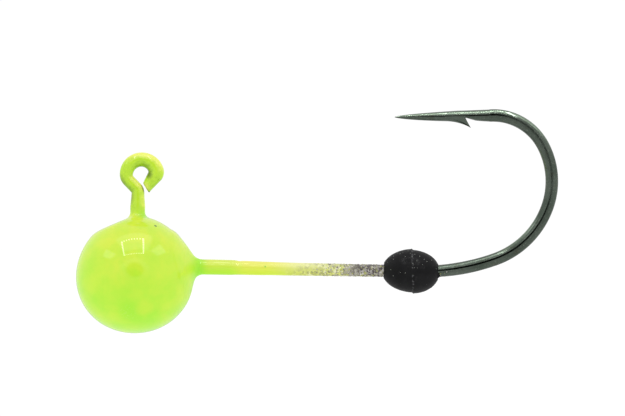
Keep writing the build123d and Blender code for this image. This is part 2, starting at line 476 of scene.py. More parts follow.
def build_hook():
    run, bend_start, bend_end = whole_hook()
    total = run.length

    def at_back(backs):
        return run.at(total - np.asarray(backs))

    angles = full_turn(HOOK_AROUND)
    forging = [(bend_start + 0.8, 0.0), (bend_start + 3.5, 1.0), (bend_end - 0.5, 1.0), (bend_end + 1.2, 0.0)]
    spear_start = total - NOTCH_END[0]
    rings, along = [], []
    for gone in np.concatenate([np.arange(0, 5.4, 0.05), np.arange(5.4, spear_start - 0.04, 0.085)]):
        rings.append(wire_ring(run, gone, float(eased(forging, gone)), angles))
        along.append(gone)
    for station in spear_stations():
        rings.append(spear_ring(at_back, station, angles))
        along.append(total - station[0])

    (tip,), _ = at_back([0.0])
    points, faces = closed_tube(rings, (tip[0], 0.0, tip[1]), False)
    hook = new_piece("hook_forged_wire", points, faces)
    hook.data.set_sharp_from_angle(angle=math.radians(38))
    store(hook, "along", [*np.repeat(along, HOOK_AROUND), 0.0, total])
    store(hook, "turn_cos", [*np.tile(np.cos(angles), len(rings)), 0.0, 0.0])
    store(hook, "turn_sin", [*np.tile(np.sin(angles), len(rings)), 0.0, 0.0])
    return hook


# ------ powder coat


def smooth_union(a, b, k):
    h = np.clip(0.5 + 0.5 * (b - a) / k, 0, 1)
    return b + (a - b) * h - k * h * (1 - h)


def smooth_cut(a, b, k):
    return -smooth_union(-a, -b, k)


def tube_distance(points, run, radii):
    """Distance from a tube of changing radius that lies in the hook's plane."""
    away, radius = run.near(points[:, [0, 2]], radii)
    return np.hypot(away, points[:, 1]) - radius


def closing_radii(gone):
    """Painted radius from the eye's left side over the top to its cut end."""
    turns = np.array([0, 45, 90, 135, CLOSE_TURN])
    at = [*(LOOP_R * np.radians(turns)), LIMB_END_GONE - LIMB_LENGTH, LIMB_END_GONE]
    return np.interp(gone, at, [0.497, 0.525, 0.535, 0.56, 0.58, 0.575, 0.387])


def neck_radii(gone):
    """Painted radius from the eye's left side down the throat and the neck."""
    return np.interp(gone, [0, 0.5, 1.6, 1.95, 2.7, 3.4], [0.497, 0.472, 0.475, 0.492, 0.560, 0.545])


def film_thickness(points):
    """Powder on the shank: a thick sleeve, a groove, then a film that thins and breaks up."""
    x = points[:, 0]
    rise = points[:, 2] - SHANK_Z
    topness = rise / np.maximum(np.hypot(points[:, 1], rise), 1e-6)
    smooth = eased(FILM, x) + eased(FILM_LEAN, x) * topness
    groove = 0.028 * hump(x - SLEEVE_END_X, 0.16) * np.clip(topness + 0.35, 0, 1)
    lumps = 0.004 * value_noise(points, 1.1, SEED) + 0.003 * value_noise(points, 0.45, SEED + 1)
    broken = np.clip((x - 12.0) / 2.5, 0, 1)
    grit = 0.8 * value_noise(points, 0.15, SEED + 2) + 0.8 * value_noise(points, 0.07, SEED + 3)
    return smooth - groove + lumps + broken * 0.015 * grit


def head_distance(points):
    """The painted ball with its trimmed gate, and the collar along the shank."""
    x, y, z = points.T
    dx, dz = x - BALL_X, z - BALL_Z
    reach = np.sqrt(dx**2 + y**2 + dz**2)
    turn = np.arctan2(dz, dx)
    flatness = (dx**2 + dz**2) / np.maximum(reach, 1e-6) ** 2
    lobes = (0.045 * np.cos(3 * (turn - math.radians(212))) + 0.030 * np.cos(turn)) * flatness
    ripple = 0.003 * value_noise(points, 2.6, SEED + 4)
    ball = reach - BALL_R - HEAVY_COAT - lobes - ripple
    gate = math.radians(GATE_ANGLE)
    gate_plane = dx * math.cos(gate) + dz * math.sin(gate) - GATE_DISTANCE
    ball = smooth_cut(ball, gate_plane, 0.22)
    from_shank = np.hypot(y, z - SHANK_Z)
    collar = from_shank - COLLAR_R - (COLLAR_X - x) * COLLAR_SLOPE
    collar = smooth_cut(collar / math.hypot(1, COLLAR_SLOPE), 2.5 - x, 0.4)
    return smooth_union(ball, collar, 0.40)


def sleeve_distance(points):
    """The film on the shank, from inside the ball to where it has broken up."""
    from_shank = np.hypot(points[:, 1], points[:, 2] - SHANK_Z)
    sleeve = from_shank - WIRE_R - film_thickness(points)
    return np.maximum(sleeve, np.maximum(1.0 - points[:, 0], points[:, 0] - FILM_END_X))


def by_limb(points):
    return np.linalg.norm(points[:, [0, 2]] - LIMB_END, axis=1) < 0.9


def past_limb_cut(points):
    """How far each point lies beyond the slanting cut that ends the eye."""
    cut = math.radians(CUT_HEADING)
    return (points[:, [0, 2]] - LIMB_END) @ [math.cos(cut), math.sin(cut)]


def eye_distance(points):
    """The painted eye and neck. The eye's cut end stays clear of the throat."""
    neck = tube_distance(points, EYE_NECK, neck_radii)
    closing = tube_distance(points, EYE_CLOSING, closing_radii)
    closing = np.where(by_limb(points), smooth_cut(closing, past_limb_cut(points), 0.05), closing)
    return np.minimum(neck, closing)


def coat_distance(points):
    """Signed distance, near enough, from the outside of the powder coat."""
    whole = np.full(len(points), 1e3)
    by_head = points[:, 0] < COLLAR_X + 2.2
    whole[by_head] = head_distance(points[by_head])
    for here, distance, blend in (
        (points[:, 0] > 1.5, sleeve_distance, 0.36),
        (points[:, 2] > BALL_Z + 3.0, eye_distance, 0.40),
    ):
        whole[here] = smooth_union(whole[here], distance(points[here]), blend)
    return whole


def slope_of(points, value, step=0.002):
    nudges = np.eye(3) * step
    return np.stack([(coat_distance(points + nudge) - value) / step for nudge in nudges], 1)


def round_tube(places, heads, radii):
    angles = full_turn(24)
    rings = []
    for place, head, radius in zip(places, heads, radii):
        flat = place + np.outer(np.cos(angles) * radius, [-math.sin(head), math.cos(head)])
        rings.append(in_space(flat, np.sin(angles) * radius))
    return closed_tube(rings, rings[-1].mean(0), True)


def rough_coat():
    """Overlapping closed shells that the voxel remesh turns into one skin."""
    shells = []
    for run, radii in ((EYE_CLOSING, closing_radii), (EYE_NECK, neck_radii)):
        gone = np.linspace(0, run.length, 64)
        shells.append(round_tube(*run.at(gone), radii(gone) * 0.80))
    limb_tube = shells[0][0]
    _, (limb,) = EYE_CLOSING.at([EYE_CLOSING.length])
    over = np.where(by_limb(limb_tube), np.maximum(past_limb_cut(limb_tube) + 0.03, 0), 0)
    over /= math.cos(limb - math.radians(CUT_HEADING))
    limb_tube -= np.outer(over, [math.cos(limb), 0, math.sin(limb)])

    x = np.linspace(1.0, FILM_END_X, 160)
    film = WIRE_R + np.interp(x, [0, SLEEVE_END_X, 13, FILM_END_X], [0.11, 0.08, 0.01, -0.05])
    cone = np.where(x > 2.4, COLLAR_R + (COLLAR_X - x) * COLLAR_SLOPE, 0)
    shank = np.stack([x, np.full(len(x), SHANK_Z)], 1)
    shells.append(round_tube(shank, np.zeros(len(x)), np.maximum(film, cone)))

    rough = bmesh.new()
    bmesh.ops.create_icosphere(rough, subdivisions=5, radius=BALL_R)
    bmesh.ops.translate(rough, verts=rough.verts, vec=(BALL_X, 0, BALL_Z))
    for points, faces in shells:
        made = [rough.verts.new(p) for p in points]
        for face in faces:
            rough.faces.new([made[i] for i in face])
    bmesh.ops.recalc_face_normals(rough, faces=rough.faces)
    return finished("rough_coat", rough)


def skin_mesh(rough):
    """One skin round overlapping shells, finer where the film breaks up."""
    remesh = rough.modifiers.new("skin", "REMESH")
    remesh.mode = "VOXEL"
    remesh.voxel_size = COAT_VOXEL
    ready = rough.evaluated_get(bpy.context.evaluated_depsgraph_get())
    skin = bmesh.new()
    skin.from_mesh(ready.to_mesh())
    fine = [e for e in skin.edges if min(v.co.x for v in e.verts) > FINE_FROM_X]
    bmesh.ops.subdivide_edges(skin, edges=fine, cuts=1, use_grid_fill=True)
    ready.to_mesh_clear()
    return points_and_faces(skin)


def build_coat():
    """A rough skin whose points are then drawn on to the coat's exact surface."""
    rough = link_piece("rough_coat", rough_coat())
    points, faces = skin_mesh(rough)
    bpy.data.objects.remove(rough)
    for _ in range(5):
        value = coat_distance(points)
        slope = slope_of(points, value)
        push = value / np.maximum((slope**2).sum(1), 0.2)
        points = points - slope * np.clip(push, -0.12, 0.12)[:, None]
    slope = slope_of(points, coat_distance(points))
    normals = slope / np.maximum(np.linalg.norm(slope, axis=1), 1e-9)[:, None]
    coat = new_piece("paint_powder_coat", points, faces)
    if len(coat.data.vertices) == len(normals):
        coat.data.normals_split_custom_set_from_vertices(normals.tolist())
    return coat


# ------ powder grains


def build_grains():
    """Fused grains of overspray on the bare wire, thinning out towards the bend."""
    draw = np.random.default_rng(SEED)
    ball = bmesh.new()
    bmesh.ops.create_icosphere(ball, subdivisions=1, radius=1.0)
    ball_points, ball_faces = points_and_faces(ball)
    points, faces, tints = [], [], []
    while len(points) < GRAIN_COUNT:
        x = GRAINS_FROM_X + GRAINS_REACH * draw.random() ** 1.35
        size = GRAIN_LEAST + GRAIN_EXTRA * draw.random() ** 2.0
        angle = 2 * math.pi * draw.random()
        stretch = 0.8 + 0.7 * draw.random()
        tint = draw.random()
        if draw.random() > np.interp(x, *GRAIN_CHANCE):
            continue
        if x > BARE_FROM_X and math.cos(angle) > -0.2:
            continue
        lift = max(0.0, x - CURVE_X) ** 2 / (2 * CURVE[0][0])
        outward = np.array([0, math.sin(angle), math.cos(angle)])
        across = np.array([0, math.cos(angle), -math.sin(angle)])
        lump = 1 + 0.35 * value_noise(ball_points * 0.9 + len(points) * 7.3, 0.8, SEED + 6)
        local = ball_points * lump[:, None] * size
        height = min(0.55 * size, 0.030)
        centre = np.array([x, 0, SHANK_Z + lift]) + outward * (WIRE_R + height * 0.15)
        spread = np.outer(local[:, 0] * stretch, [1, 0, 0]) + np.outer(local[:, 1], across)
        faces.append(np.array(ball_faces) + len(points) * len(ball_points))
        points.append(centre + spread + np.outer(local[:, 2] * height / size, outward))
        tints.append(np.full(len(ball_points), tint))
    grains = new_piece("paint_overspray_grains", np.vstack(points), np.vstack(faces).tolist())
    store(grains, "tint", np.concatenate(tints))
    return grains


# ------ lead


def build_lead():
    """The casting as designed, without the folded slivers of its tessellation."""
    clean = bmesh.new()
    clean.from_mesh(frame["nodes"]["lead_head"].data)
    bmesh.ops.remove_doubles(clean, verts=clean.verts, dist=WELD)
    bmesh.ops.dissolve_degenerate(clean, edges=clean.edges, dist=WELD)
    for face in clean.faces:
        face.smooth = True
    mesh = finished("lead_cast_ball", clean)
    mesh.set_sharp_from_angle(angle=math.radians(30))
    return link_piece("lead_cast_ball", mesh)


# ------ keeper bead


def bead_profile():
    """(x, radius) round the bead's section: its outside, then back through its bore."""
    mouth_share = math.sqrt(1 - (MOUTH_R / BEAD_R) ** 2)
    reach_head = (PARTING_X - BEAD_START) / mouth_share
    reach_bend = (BEAD_END - PARTING_X) / mouth_share
    edge = math.asin((MOUTH_R + BEAD_LIP) / BEAD_R)
    outside = set()
    for angle in np.linspace(math.pi - edge, edge, 121):
        reach = reach_head if math.cos(angle) < 0 else reach_bend
        outside.add((PARTING_X + reach * math.cos(angle), BEAD_R * math.sin(angle)))
    for off in (-0.06, -0.035, -0.018, 0.0, 0.018, 0.035, 0.06):
        outside.add((PARTING_X + off, BEAD_R))
    bend_lip = [(BEAD_END - 0.002, MOUTH_R + BEAD_LIP / 2), (BEAD_END - BEAD_LIP, MOUTH_R)]
    head_lip = [(BEAD_START + BEAD_LIP, MOUTH_R), (BEAD_START + 0.002, MOUTH_R + BEAD_LIP / 2)]
    bore = [(x, BORE_R) for x in np.linspace(BEAD_END - BORE_FLARE, BEAD_START + BORE_FLARE, 12)]
    return sorted(outside), bend_lip + bore + head_lip


def outer_ring(x, radius, angles):
    """A ring of the bead's outside: places, uneven radii with seam and nubs, lift."""
    off = x - PARTING_X
    xs = x + PARTING_TILT * np.cos(angles) * radius * hump(off, 1.2)
    places = np.stack([xs, radius * np.sin(angles), radius * np.cos(angles)], 1)
    lumps = 0.010 * value_noise(places, 1.0, SEED + 7) + 0.004 * value_noise(places, 0.3, SEED + 8)
    uneven = 0.5 + 0.5 * value_noise(places * [0, 1, 1], 0.22, SEED + 9)
    seam = 0.020 * uneven * hump(off, 0.03)
    top_nub = hump(angles - 0.06, 0.07)
    low_nub = 0.8 * hump(angles - math.pi + 0.05, 0.08)
    nubs = 0.045 * (top_nub + low_nub) * hump(off, 0.07)
    return xs, radius + lumps + seam + nubs, BEAD_MISMATCH / 2 * -math.tanh(off / 0.03)


def build_bead():
    outside, inside = bead_profile()
    angles = full_turn(BEAD_AROUND)
    shaped = [(x, *outer_ring(x, radius, angles)) for x, radius in outside]
    shaped += [(x, x, radius, 0.0) for x, radius in inside]
    rings = []
    for x, xs, spread, lift in shaped:
        rim = max(0.0, (x - (BEAD_END - 0.10)) / 0.10)
        xs = xs + 0.19 * rim * hump(angles - TAG_TURN, 0.20)
        rings.append(np.stack([xs, spread * np.sin(angles), SHANK_Z + lift + spread * np.cos(angles)], 1))
    faces = ring_faces(len(rings), BEAD_AROUND, closed=True)
    bead = new_piece("keeper_rubber_bead", np.vstack(rings), faces)
    bead.data.set_sharp_from_angle(angle=math.radians(60))
    return bead


# ------ shader helpers


class Graph:
    """Short ways to build a node tree."""

    def __init__(self, tree):
        self.tree = tree
        tree.nodes.clear()

    def node(self, kind, inputs=None, **settings):
        made = self.tree.nodes.new("ShaderNode" + kind)
        for key, value in settings.items():
            setattr(made, key, value)
        for key, value in (inputs or {}).items():
            self.feed(made.inputs[key], value)
        return made

    def feed(self, socket, value):
        if isinstance(value, bpy.types.NodeSocket):
            self.tree.links.new(value, socket)
        else:
            socket.default_value = value

    def math(self, operation, *parts):
        """The parts taken together two at a time, from the left."""
        total = parts[0]
        for part in parts[1:] or [0.0]:
            total = self.node("Math", {0: total, 1: part}, operation=operation).outputs[0]
        return total

    def times(self, *parts):
        return self.math("MULTIPLY", *parts)

    def plus(self, *parts):
        return self.math("ADD", *parts)

    def minus(self, a, b):
        return self.math("SUBTRACT", a, b)

    def span(self, value, low, high, to_low=0.0, to_high=1.0):
        """Value's share of the way from low to high, eased, mapped to another range."""
        inputs = dict(enumerate((value, low, high, to_low, to_high)))
        return self.node("MapRange", inputs, interpolation_type="SMOOTHSTEP").outputs[0]

    def cells(self, vector, scale):
        """Scattered cells: the distance from the middle of one, and its random pick."""
        made = self.node("TexVoronoi", {"Vector": vector, "Scale": scale}).outputs
        picks = self.node("SeparateColor", {"Color": made["Color"]})
        return made["Distance"], picks.outputs[0]

    def cloud(self, vector, scale, to_low=0.0, to_high=1.0):
        """Soft noise, from one value to another."""
        return self.span(self.noise(vector, scale), 0.3, 0.7, to_low, to_high)

    def band(self, value, start, full, fade, end):
        """1 from full to fade, easing to 0 at start and at end."""
        return self.times(self.span(value, start, full), self.span(value, fade, end, 1.0, 0.0))

    def mix(self, share, a, b):
        """Shades are sockets, or display colours from 0 to 255."""
        a, b = (colour(*shade) if isinstance(shade, tuple) else shade for shade in (a, b))
        return self.node("Mix", {0: share, 6: a, 7: b}, data_type="RGBA").outputs[2]

    def tint(self, shade, mask, strength, other):
        """The shade moved towards another, as far as strength where the mask is 1."""
        return self.mix(self.times(mask, strength), shade, other)

    def noise(self, vector, scale, detail=2.0, rough=0.5, distort=0.0):
        inputs = {"Vector": vector, "Scale": scale, "Detail": detail}
        inputs.update({"Roughness": rough, "Distortion": distort})
        return self.node("TexNoise", inputs).outputs["Fac"]

    def vector(self, operation, a, b=None, scale=None):
        inputs = {key: value for key, value in ((0, a), (1, b), (3, scale)) if value is not None}
        made = self.node("VectorMath", inputs, operation=operation)
        return made.outputs[1 if operation in ("DOT_PRODUCT", "DISTANCE") else 0]

    def parts(self, vector):
        return self.node("SeparateXYZ", {"Vector": vector}).outputs

    def millimetres(self):
        """A point's place in the part's own frame, in millimetres, and its parts."""
        place = self.node("TexCoord").outputs["Object"]
        scaled = self.vector("SCALE", place, scale=1 / MM)
        return scaled, *self.parts(scaled)

    def normal_parts(self):
        return self.parts(self.node("TexCoord").outputs["Normal"])

    def attribute(self, name):
        return self.node("Attribute", attribute_name=name).outputs["Fac"]

    def spot(self, place, centre, inner, outer):
        """1 within inner of a point, 0 beyond outer."""
        return self.span(self.vector("DISTANCE", place, centre), inner, outer, 1.0, 0.0)

    def bump(self, height, strength=1.0):
        """A normal from a height in millimetres."""
        inputs = {"Strength": strength, "Distance": MM, "Height": height}
        return self.node("Bump", inputs).outputs[0]

    def principled(self, **inputs):
        """End a material's tree. Inputs have the shader's names, with _ for each space."""
        named = {key.replace("_", " "): value for key, value in inputs.items()}
        shader = self.node("BsdfPrincipled", named)
        self.node("OutputMaterial", {"Surface": shader.outputs[0]})


def material(name):
    made = bpy.data.materials.new(name)
    made.use_nodes = True
    return made, Graph(made.node_tree)


def colour(red, green, blue):
    """A display colour, 0 to 255, as the linear colour that shaders use."""
    made = []
    for part in (red, green, blue):
        share = part / 255
        made.append(share / 12.92 if share <= 0.04045 else ((share + 0.055) / 1.055) ** 2.4)
    return (*made, 1.0)


# ------ painted reflections of the lamps, given as glow


def ceiling_place(g, x, y, z):
    """Where a direction meets the ceiling: across, towards the back, and whether it does."""
    climb = g.math("MAXIMUM", z, 0.02)
    return g.math("DIVIDE", x, climb), g.math("DIVIDE", y, climb), g.math("GREATER_THAN", z, 0.1)


def turned(g, across, back, corner, c, s):
    """Ceiling places from a corner, turned by the angle of cosine c and sine s."""
    a, b = g.minus(across, corner[0]), g.minus(back, corner[1])
    return g.plus(g.times(a, c), g.times(b, s)), g.minus(g.times(b, c), g.times(a, s))


def lamp_row(g, across, back, start, end, lit):
    """A row of small lamps from one corner of the frame to the next."""
    length = math.dist(start, end)
    c, s = (end[0] - start[0]) / length, (end[1] - start[1]) / length
    along, off = turned(g, across, back, start, c, s)
    from_middle = g.math("ABSOLUTE", g.minus(along, length / 2))
    in_reach = g.math("LESS_THAN", from_middle, length / 2 + LAMP_SIZE / 2)
    on_line = g.math("LESS_THAN", g.math("ABSOLUTE", off), LAMP_SIZE / 2)
    lamp = g.math("LESS_THAN", g.math("PINGPONG", along, LAMP_PITCH / 2), LAMP_PITCH * lit / 2)
    return g.times(on_line, in_reach, lamp)


def lamp_frame(g, across, back):
    """A four-sided frame of small lamps overhead, a little in front of the object."""
    rows = 0.0
    for i, start in enumerate(LAMP_CORNERS):
        end = LAMP_CORNERS[(i + 1) % 4]
        rows = g.math("MAXIMUM", lamp_row(g, across, back, start, end, LAMP_LIT[i % 2]), rows)
    return rows


def painted_lamp_glints(g, normal):
    """Painted reflection: how strongly a surface would mirror the lamps towards the camera, given as glow
    free of render noise.
    """
    geometry = g.node("NewGeometry").outputs
    towards = geometry["Incoming"]
    mirrored = g.vector("REFLECT", g.vector("SCALE", towards, scale=-1.0), normal)
    across, back, over = ceiling_place(g, *g.parts(mirrored))
    # A face seen dead square on mirrors only the camera, and texture baking looks at every face that way
    square_on = g.vector("DOT_PRODUCT", towards, geometry["Normal"])
    aslant = g.math("LESS_THAN", square_on, 0.9999)
    seen = g.node("LightPath").outputs["Is Camera Ray"]
    return g.times(lamp_frame(g, across, back), over, seen, aslant, LAMP_LEVEL)


# ------ materials


def flake_colour(g, place, size, shades):
    """A mosaic of flakes in a few shades, listed as (from share, colour)."""
    wobble = g.node("TexNoise", {"Vector": place, "Scale": 1.6 / size, "Detail": 1.0})
    shift = g.vector("SUBTRACT", wobble.outputs["Color"], (0.5, 0.5, 0.5))
    bent = g.vector("ADD", place, g.vector("SCALE", shift, scale=size * 0.9))
    _, pick = g.cells(bent, 1 / size)
    ramp = g.node("ValToRGB", {"Fac": pick})
    stops = ramp.color_ramp.elements
    while len(stops) < len(shades):
        stops.new(0.5)
    for stop, (position, shade) in zip(stops, shades):
        stop.position = position
        stop.color = colour(*shade)
    return ramp.outputs["Color"], pick


def paint_colour(g, place, x, upper, normal_z):
    """Chartreuse with a painted shade: yellow where it faces up or lies high on the shank, green underneath.
    """
    yellow, green = (224, 245, 72), (176, 242, 56)
    deep_green, warm = (156, 240, 42), (232, 242, 72)
    # Painted shade: the ball is yellower where it faces up and greener where it faces down, plus tone that
    # varies at random
    share = g.plus(
        g.span(normal_z, -1.05, 1.05, 0.14, 0.82),
        g.span(g.noise(place, 0.30, 2.0, 0.5, 0.5), 0.30, 0.70, -0.14, 0.18),
        g.span(g.noise(place, 0.8, 2.0, 0.5, 0.3), 0.32, 0.70, -0.11, 0.13),
        g.span(g.noise(place, 3.4, 2.0, 0.6), 0.35, 0.7, -0.02, 0.03),
    )
    shade = g.mix(share, green, yellow)
    shade = g.tint(shade, g.band(x, 3.6, 4.4, 4.6, 7.0), 0.75, deep_green)
    for centre, inner, outer, strength, other in (
        ((0.15, -0.4, BALL_Z + 4.35), 0.15, 0.75, 0.65, deep_green),
        ((-0.2, -1.2, BALL_Z + 3.7), 0.2, 1.5, 0.35, warm),
        ((BALL_X - 0.1, -3.2, BALL_Z - 2.5), 0.4, 1.6, 0.40, deep_green),
        ((BALL_X + 0.96, -3.5, BALL_Z - 2.34), 0.35, 0.95, 0.28, warm),
    ):
        shade = g.tint(shade, g.spot(place, centre, inner, outer), strength, other)

    # Painted shade on the shank: paler and yellower on top, greener underneath
    shank_yellow = g.mix(upper, (212, 240, 52), (246, 244, 112))
    shank_green = g.mix(upper, (184, 240, 42), (226, 243, 96))
    yellowed = g.span(g.plus(x, g.times(g.noise(place, 1.6), 0.8)), 6.9, 8.3)
    return g.mix(g.span(x, 4.3, 5.2), shade, g.mix(yellowed, shank_green, shank_yellow))


def paint_thin(g, place, x, upper, shade):
    """Where the film runs out it turns olive and breaks into flakes, both paler on top from a painted shade.
    """
    # Painted shade: olive underneath, pale on top
    olive = g.mix(upper, (208, 218, 92), (247, 249, 176))
    shade = g.tint(shade, g.span(x, 9.0, 12.6), 0.9, olive)
    shades = [
        (0.0, (118, 110, 92)),
        (0.24, (168, 168, 112)),
        (0.42, (206, 214, 84)),
        (0.66, (216, 220, 128)),
        (0.86, (240, 240, 196)),
    ]
    flakes, _ = flake_colour(g, place, 0.17, shades)
    # Painted highlight: the flakes are paler on top
    flakes = g.tint(flakes, upper, 0.24, (240, 240, 216))
    lag = g.plus(g.times(g.noise(place, 3.0), 1.6), g.times(upper, -0.8))
    return g.tint(shade, g.span(g.plus(x, lag), 10.9, 14.6), 0.85, flakes)


def eye_painted_shade(g, place, z, normals, shade):
    """Painted shade on the eye's coat: pale where it faces up, olive where it faces down and in its crevices.
    """
    mottle = g.span(g.noise(place, 2.6, 2.0, 0.6), 0.3, 0.7, -0.10, 0.10)
    lit = g.plus(g.times(normals[2], 0.9), g.times(normals[0], 0.32), mottle)
    tone = g.mix(g.span(lit, -0.80, 0.05), (140, 180, 38), (194, 234, 56))
    tone = g.mix(g.span(lit, 0.0, 0.75), tone, (252, 255, 116))
    shade = g.tint(shade, g.span(z, LOOP_Z - 3.1, LOOP_Z - 2.2), 0.9, tone)
    end_x, end_z = LIMB_END
    # Painted highlight and shade patches, a highlight by the cut end and shade in the crevices and along the
    # lower left: how the space is stretched, centre in that space, inner and outer reach, strength, colour
    for stretch, centre, inner, outer, strength, other in (
        ((1, 1, 1), (end_x - 0.05, -0.3, end_z + 0.10), 0.10, 0.50, 0.60, (244, 248, 116)),
        ((1, 0.5, 0.8), (0.58, -0.05, -0.02), 0.10, 0.42, 0.80, (78, 106, 26)),
        ((1, 0.5, 0.6), (0.20, 0.0, -0.62), 0.10, 0.30, 0.70, (84, 112, 26)),
        ((1, 0.6, 0.55), (-1.48, -0.12, -0.4125), 0.05, 0.40, 0.60, (128, 146, 44)),
        ((1, 0.6, 0.55), (-0.78, -0.12, -0.935), 0.05, 0.40, 0.60, (128, 146, 44)),
    ):
        patch = g.spot(g.vector("MULTIPLY", place, stretch), centre, inner, outer)
        shade = g.tint(shade, patch, strength, other)
    return shade


def paint_specks(g, place, shade):
    """A dark speck on the ball, a green one on the shank, and fine scuffs low on the ball."""
    shade = g.mix(g.spot(place, (1.11, -1.74, BALL_Z + 3.64), 0.08, 0.16), shade, (60, 108, 18))
    shade = g.mix(g.spot(place, (9.27, -0.43, SHANK_Z + 0.14), 0.04, 0.12), shade, (140, 208, 64))
    streaks = g.noise(g.vector("MULTIPLY", place, (3.0, 3.0, 3.0)), 1.0, 1.0, 0.5, 3.0)
    where = g.spot(place, (BALL_X - 0.3, -3.3, BALL_Z - 2.65), 0.2, 0.9)
    scuffs = g.times(g.band(streaks, 0.60, 0.64, 0.66, 0.70), where)
    return g.tint(shade, scuffs, 0.35, (226, 246, 150))


def paint_material():
    made, g = material("powder_coat_chartreuse")
    place, x, _, z = g.millimetres()
    normals = g.normal_parts()
    upper = g.span(g.minus(z, SHANK_Z), -0.50, 0.50)
    shade = paint_colour(g, place, x, upper, normals[2])
    shade = paint_thin(g, place, x, upper, shade)
    shade = eye_painted_shade(g, place, z, normals, shade)
    shade = paint_specks(g, place, shade)

    even = g.cloud(place, 1.1, 0.020, 0.045)
    collar = g.times(g.band(x, 2.7, 3.6, 4.3, 5.0), 0.30)
    rough = g.plus(even, collar, g.times(g.span(x, 10.5, 14.0), 0.25))
    swell = g.times(g.noise(place, 1.5, 1.0), 0.0005)
    grain = g.times(g.noise(place, 18.0, 1.0), 0.00006)
    grit = g.times(g.noise(place, 12.0, 2.0, 0.6), g.span(x, 9.0, 13.0, 0.0, 0.012))
    normal = g.bump(g.plus(swell, grain, grit))
    # Painted reflection of the lamps, given as glow, fainter where the film breaks up
    mirror = g.node("Fresnel", {"IOR": PAINT_IOR}).outputs[0]
    mirror = g.times(mirror, g.span(x, 9.5, 13.0, 1.0, 0.3))
    g.principled(
        Base_Color=shade,
        Roughness=rough,
        IOR=PAINT_IOR,
        Normal=normal,
        Emission_Color=WHITE,
        Emission_Strength=g.times(painted_lamp_glints(g, normal), mirror),
    )
    return made


def grain_material():
    made, g = material("powder_grains_fused")
    place = g.millimetres()[0]
    tint = g.attribute("tint")
    lively = g.mix(g.noise(place, 4.0), (166, 170, 70), (204, 208, 116))
    pale = g.mix(g.noise(place, 5.0), (206, 203, 194), (150, 144, 140))
    dull = g.mix(g.noise(place, 5.0), (92, 80, 80), (128, 116, 112))
    shade = g.mix(g.span(tint, 0.26, 0.30), lively, pale)
    shade = g.mix(g.span(tint, 0.66, 0.70), shade, dull)
    normal = g.bump(g.times(g.noise(place, 18.0), 0.01), 0.6)
    rough = g.span(tint, 0.0, 1.0, 0.22, 0.45)
    g.principled(Base_Color=shade, Roughness=rough, IOR=1.5, Normal=normal)
    return made


def metal_colour(g, place, z, drawn, speck):
    """Black nickel with clouds, drawing marks and stains, and a painted highlight where it faces up."""
    metal = g.mix(g.cloud(place, 0.45), (76, 86, 77), (92, 101, 92))
    stain = g.noise(place, 1.7, 3.0, 0.6)
    for marks, start, strength, other in (
        (speck, 0.54, 0.65, (132, 138, 128)),
        (drawn, 0.54, 0.55, (52, 58, 52)),
        (stain, 0.52, 0.40, (70, 68, 52)),
    ):
        metal = g.mix(g.span(marks, start, 0.72, 0.0, strength), metal, other)
    # Painted highlight: lighter where the wire faces up, broken up by the specks and fainter low on the hook
    painted_highlight = g.times(
        g.band(g.normal_parts()[2], 0.30, 0.55, 0.78, 0.92),
        g.span(speck, 0.30, 0.60, 0.55, 1.0),
        g.span(z, -6.2, -3.8, 0.15, 1.0),
    )
    return g.tint(metal, painted_highlight, 0.8, (132, 148, 130))


def powder_dust(g, place, x, z):
    """Powder on the bare shank: its colour, each flake's pick, and where it is kept."""
    shades = [
        (0.0, (66, 56, 58)),
        (0.30, (92, 82, 84)),
        (0.48, (134, 127, 126)),
        (0.66, (186, 182, 178)),
        (0.84, (172, 174, 100)),
        (0.93, (222, 219, 210)),
    ]
    powder, pick = flake_colour(g, place, 0.15, shades)
    powder = g.mix(g.span(x, 14.9, 16.6, 0.34, 0.0), powder, (244, 242, 200))
    powder = g.mix(g.span(x, 16.4, 17.2, 0.0, 0.22), powder, (74, 66, 66))
    near_shank = g.span(g.minus(z, SHANK_Z), 0.5, 1.0, 1.0, 0.0)
    threshold = g.plus(g.span(x, 15.5, 22.5, 0.0, 0.62), 0.20)
    kept = g.math("GREATER_THAN", g.noise(place, 5.0, 3.0, 0.7), threshold)
    return powder, pick, g.times(g.band(x, 10.0, 12.0, 17.9, 23.6), near_shank, kept)


def hook_material():
    made, g = material("hook_black_nickel")
    place, x, _, z = g.millimetres()
    along = g.attribute("along")
    round_wire = {
        "X": g.times(g.attribute("turn_cos"), 5.0),
        "Y": g.times(g.attribute("turn_sin"), 5.0),
        "Z": g.times(along, 0.35),
    }
    turn = g.node("CombineXYZ", round_wire).outputs[0]
    drawn = g.noise(turn, 2.6, 3.0, 0.65)
    speck = g.noise(place, 9.0, 3.0, 0.7)
    metal = metal_colour(g, place, z, drawn, speck)
    powder, pick, dusted = powder_dust(g, place, x, z)

    _, _, bend_end = whole_hook()
    satin = g.band(along, bend_end - 9.5, bend_end - 7.5, bend_end - 2.0, bend_end)
    even = g.span(g.noise(place, 2.4, 3.0), 0.3, 0.7, 0.085, 0.17)
    rough = g.plus(even, g.times(dusted, 0.22), g.times(satin, 0.17))
    flaky = g.times(dusted, g.plus(g.noise(place, 9.0), pick), 0.012)
    normal = g.bump(g.plus(g.times(drawn, 0.0020), g.times(speck, 0.0012), flaky))
    metallic = g.minus(1.0, g.times(dusted, 0.85))
    g.principled(
        Base_Color=g.tint(metal, dusted, 0.92, powder),
        Metallic=metallic,
        Roughness=rough,
        Normal=normal,
        # Painted reflection of the lamps, given as glow in the metal's colour, stronger higher up
        Emission_Color=metal,
        Emission_Strength=g.times(painted_lamp_glints(g, normal), metallic, g.span(z, -5.8, 2.0, 0.45, 1.5)),
    )
    return made


